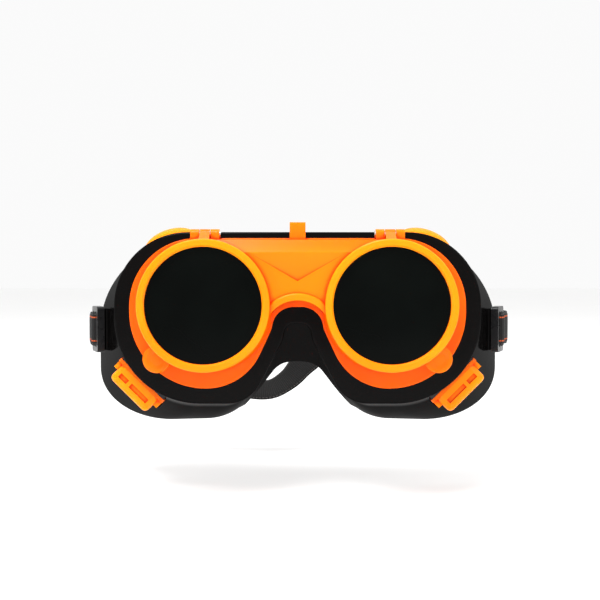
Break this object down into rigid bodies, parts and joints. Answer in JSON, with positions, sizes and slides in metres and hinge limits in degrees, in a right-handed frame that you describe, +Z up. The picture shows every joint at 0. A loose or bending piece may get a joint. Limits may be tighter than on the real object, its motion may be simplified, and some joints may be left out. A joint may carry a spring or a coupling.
{
  "type": "flip-up welding goggles",
  "caption": "Flip-up welding goggles: soft vented black mask, orange lens frame, hinged orange front with round dark lenses, elastic head strap.",
  "frame": {"origin": "on the brow of the face seal, in the mirror plane of the goggles, level with the lens centres", "axes": "+X to the right of someone looking at the front, +Y back into the wearer's face, +Z up"},
  "size_m": [0.1995, 0.1307, 0.0879],
  "materials": {
    "mask_pvc": "satin",
    "orange_plastic": "glossy",
    "vent_plastic": "satin",
    "black_plastic": "satin",
    "clear_lens": "polished",
    "dark_glass": "polished",
    "pin_steel": "satin",
    "strap_elastic": "woven"
  },
  "bodies": {
    "mask": {"mask_body": "mask_pvc", "lens_frame": "orange_plastic", "head_strap": "strap_elastic", "clear_lens_left": "clear_lens", "lens_retainer_left": "orange_plastic", "hinge_pin_left": "pin_steel", "strap_buckle_left": "black_plastic", "vent_base_lower_left": "vent_plastic", "vent_cap_lower_left": "orange_plastic", "vent_base_upper_left": "vent_plastic", "vent_cap_upper_left": "orange_plastic", "clear_lens_right": "clear_lens", "lens_retainer_right": "orange_plastic", "hinge_pin_right": "pin_steel", "strap_buckle_right": "black_plastic", "vent_base_lower_right": "vent_plastic", "vent_cap_lower_right": "orange_plastic", "vent_base_upper_right": "vent_plastic", "vent_cap_upper_right": "orange_plastic"},
    "flip_front": {"flip_frame": "orange_plastic", "dark_lens_left": "dark_glass", "dark_lens_right": "dark_glass", "filter_ring_left": "black_plastic", "filter_ring_right": "black_plastic"}
  },
  "joints": [
    {"name": "flip_hinge", "type": "hinge", "parent": "mask", "child": "flip_front", "pos_m": [0, -0.0304, 0.0295], "axis": [-1, 0, 0], "range_deg": [0, 110]}
  ]
}
